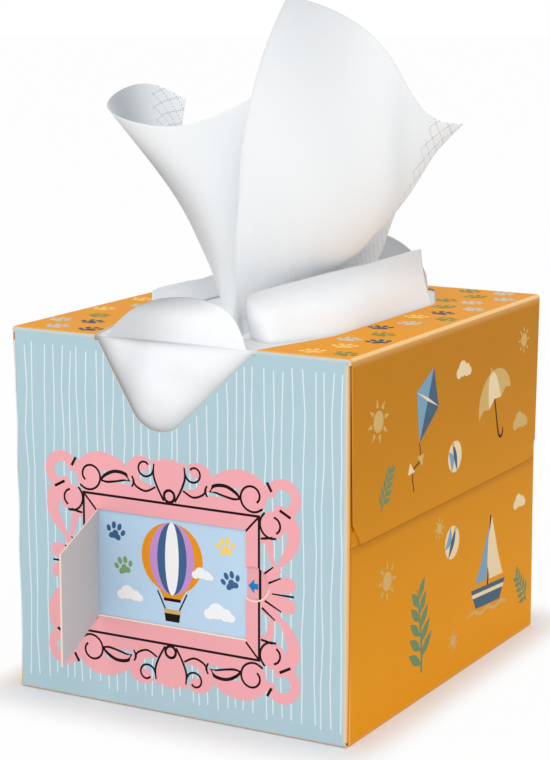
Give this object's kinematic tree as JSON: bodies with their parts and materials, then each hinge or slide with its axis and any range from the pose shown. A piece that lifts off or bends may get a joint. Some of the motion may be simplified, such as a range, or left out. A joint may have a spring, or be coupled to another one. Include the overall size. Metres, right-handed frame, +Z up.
{
  "type": "tissue box",
  "caption": "Cube card tissue box with a top and front dispensing opening, slit film lips, a pulled tissue and a small hinged picture door in its front.",
  "frame": {"origin": "middle of the carton's base, on the surface that it stands on", "axes": "+Z up, -Y out of the front with the notch and the picture door, +X to the right end"},
  "size_m": [0.122, 0.1953, 0.2219],
  "materials": {
    "printed_board": "coated, printed pale blue on the front and orange on the other sides",
    "door_board": "uncoated grey-white inside, printed outside",
    "picture_board": "coated, printed",
    "white_film": "soft satin",
    "tissue_paper": "matte, soft, embossed along its side edges"
  },
  "bodies": {
    "box": {"carton": "printed_board", "picture_card": "picture_board", "dispensing_film": "white_film", "tissue_stack": "tissue_paper", "pulled_tissue": "tissue_paper"},
    "door": {"door_flap": "door_board"}
  },
  "joints": [
    {"name": "door_hinge", "type": "hinge", "parent": "box", "child": "door", "pos_m": [-0.029, -0.0725, 0.0466], "axis": [0, 0, -1], "range_deg": [-68, 100]}
  ]
}
